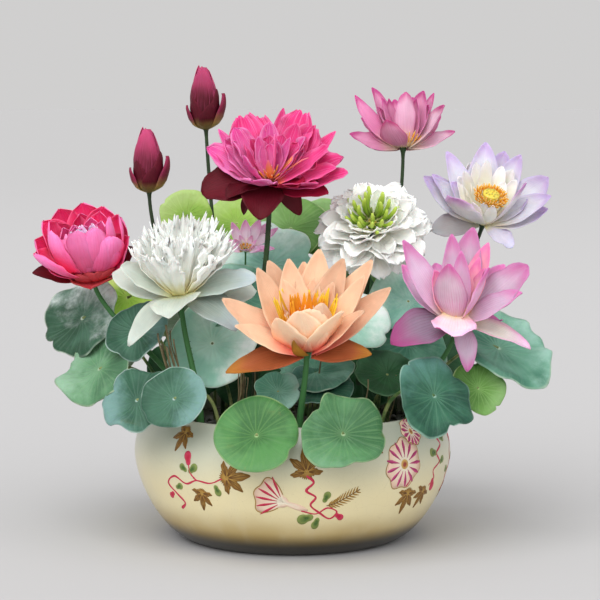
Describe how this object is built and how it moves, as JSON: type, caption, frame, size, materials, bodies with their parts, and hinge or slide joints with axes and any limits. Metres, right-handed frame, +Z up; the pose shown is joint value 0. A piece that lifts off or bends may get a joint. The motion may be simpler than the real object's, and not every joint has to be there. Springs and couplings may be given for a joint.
{
  "type": "lotus flower in bowl",
  "caption": "Potted lotus plant with open blooms, closed buds and round leaves rising from soil in a wide, round-bellied glazed bowl.",
  "frame": {"origin": "centre of the bowl's flat base, on the surface it stands on", "axes": "+Z up; -Y is the front, the side that the blooms face; +X to the right seen from the front"},
  "size_m": [0.4601, 0.3697, 0.4122],
  "materials": {
    "blush_petals": "pale pink petals, deeper at the tips",
    "bud": "closed dark pink petals",
    "carpels": "green carpels",
    "glaze": "glossy cream glaze shading to ochre",
    "lavender_petals": "white petals with lavender tips",
    "leaf": "waxy green leaf",
    "magenta_petals": "magenta petals, wine red below",
    "peach_petals": "peach petals",
    "pink_cup_petals": "orchid pink petals",
    "rose_globe_petals": "rose red petals",
    "small_pink_petals": "pale pink petals",
    "soil": "dark wet soil",
    "stalk": "green stalk",
    "stamens": "yellow stamens",
    "white_fringed_petals": "white petals",
    "white_pompom_petals": "cream white petals"
  },
  "bodies": {
    "root": {"blush_inner_petals": "blush_petals", "blush_outer_petals": "blush_petals", "blush_stalk": "stalk", "blush_stamens": "stamens", "bowl": "glaze", "lavender_inner_petals": "lavender_petals", "lavender_outer_petals": "lavender_petals", "lavender_stalk": "stalk", "lavender_stamens": "stamens", "leaf_back_green": "leaf", "leaf_back_lime": "leaf", "leaf_back_mid": "leaf", "leaf_back_teal": "leaf", "leaf_centre_dark": "leaf", "leaf_centre_left": "leaf", "leaf_centre_right": "leaf", "leaf_centre_small": "leaf", "leaf_front_left": "leaf", "leaf_front_right": "leaf", "leaf_left_grey": "leaf", "leaf_left_high": "leaf", "leaf_left_lime": "leaf", "leaf_left_low": "leaf", "leaf_left_mid": "leaf", "leaf_left_rim": "leaf", "leaf_rear_left": "leaf", "leaf_rear_right": "leaf", "leaf_right_dark": "leaf", "leaf_right_low": "leaf", "leaf_right_teal": "leaf", "leaf_right_under": "leaf", "leaf_right_wide": "leaf", "low_bud": "bud", "low_bud_stalk": "stalk", "magenta_inner_petals": "magenta_petals", "magenta_outer_petals": "magenta_petals", "magenta_stalk": "stalk", "peach_inner_petals": "peach_petals", "peach_outer_petals": "peach_petals", "peach_stalk": "stalk", "peach_stamens": "stamens", "pink_cup_inner_petals": "pink_cup_petals", "pink_cup_outer_petals": "pink_cup_petals", "pink_cup_stalk": "stalk", "pink_cup_stamens": "stamens", "rose_globe_inner_petals": "rose_globe_petals", "rose_globe_outer_petals": "rose_globe_petals", "rose_globe_stalk": "stalk", "small_pink_petals": "small_pink_petals", "small_pink_stalk": "stalk", "soil": "soil", "tall_bud": "bud", "tall_bud_stalk": "stalk", "white_fringed_inner_petals": "white_fringed_petals", "white_fringed_outer_petals": "white_fringed_petals", "white_fringed_stalk": "stalk", "white_pompom_carpels": "carpels", "white_pompom_inner_petals": "white_pompom_petals", "white_pompom_outer_petals": "white_pompom_petals", "white_pompom_stalk": "stalk"}
  },
  "joints": []
}
